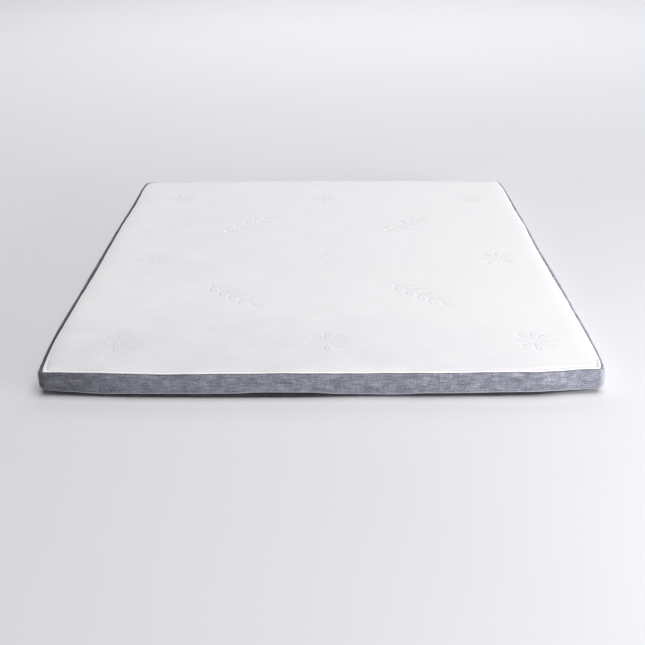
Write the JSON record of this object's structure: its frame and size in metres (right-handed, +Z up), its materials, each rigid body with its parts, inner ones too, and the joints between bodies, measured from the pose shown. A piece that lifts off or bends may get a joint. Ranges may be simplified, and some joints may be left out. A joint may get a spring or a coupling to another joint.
{
  "type": "mattress topper",
  "caption": "Flat padded mattress topper with a white knitted top, raised flowers, a grey woven border and a zip along its lower front edge.",
  "frame": {"origin": "on the ground under the middle of the topper", "axes": "+Z up through the pad, +Y along its length from the zip end to the other end, +X across its width"},
  "size_m": [1.8012, 2.0028, 0.0879],
  "materials": {
    "white_knit": "soft matt jacquard knit",
    "grey_weave": "matt melange weave with slubs",
    "bottom_cloth": "plain matt weave",
    "zip_tape": "matt woven tape",
    "zip_coil": "satin nylon"
  },
  "bodies": {
    "root": {"filled_top_panel": "white_knit", "border": "grey_weave", "bottom_panel": "bottom_cloth", "zip_tape": "zip_tape", "zip_coil": "zip_coil"}
  },
  "joints": []
}
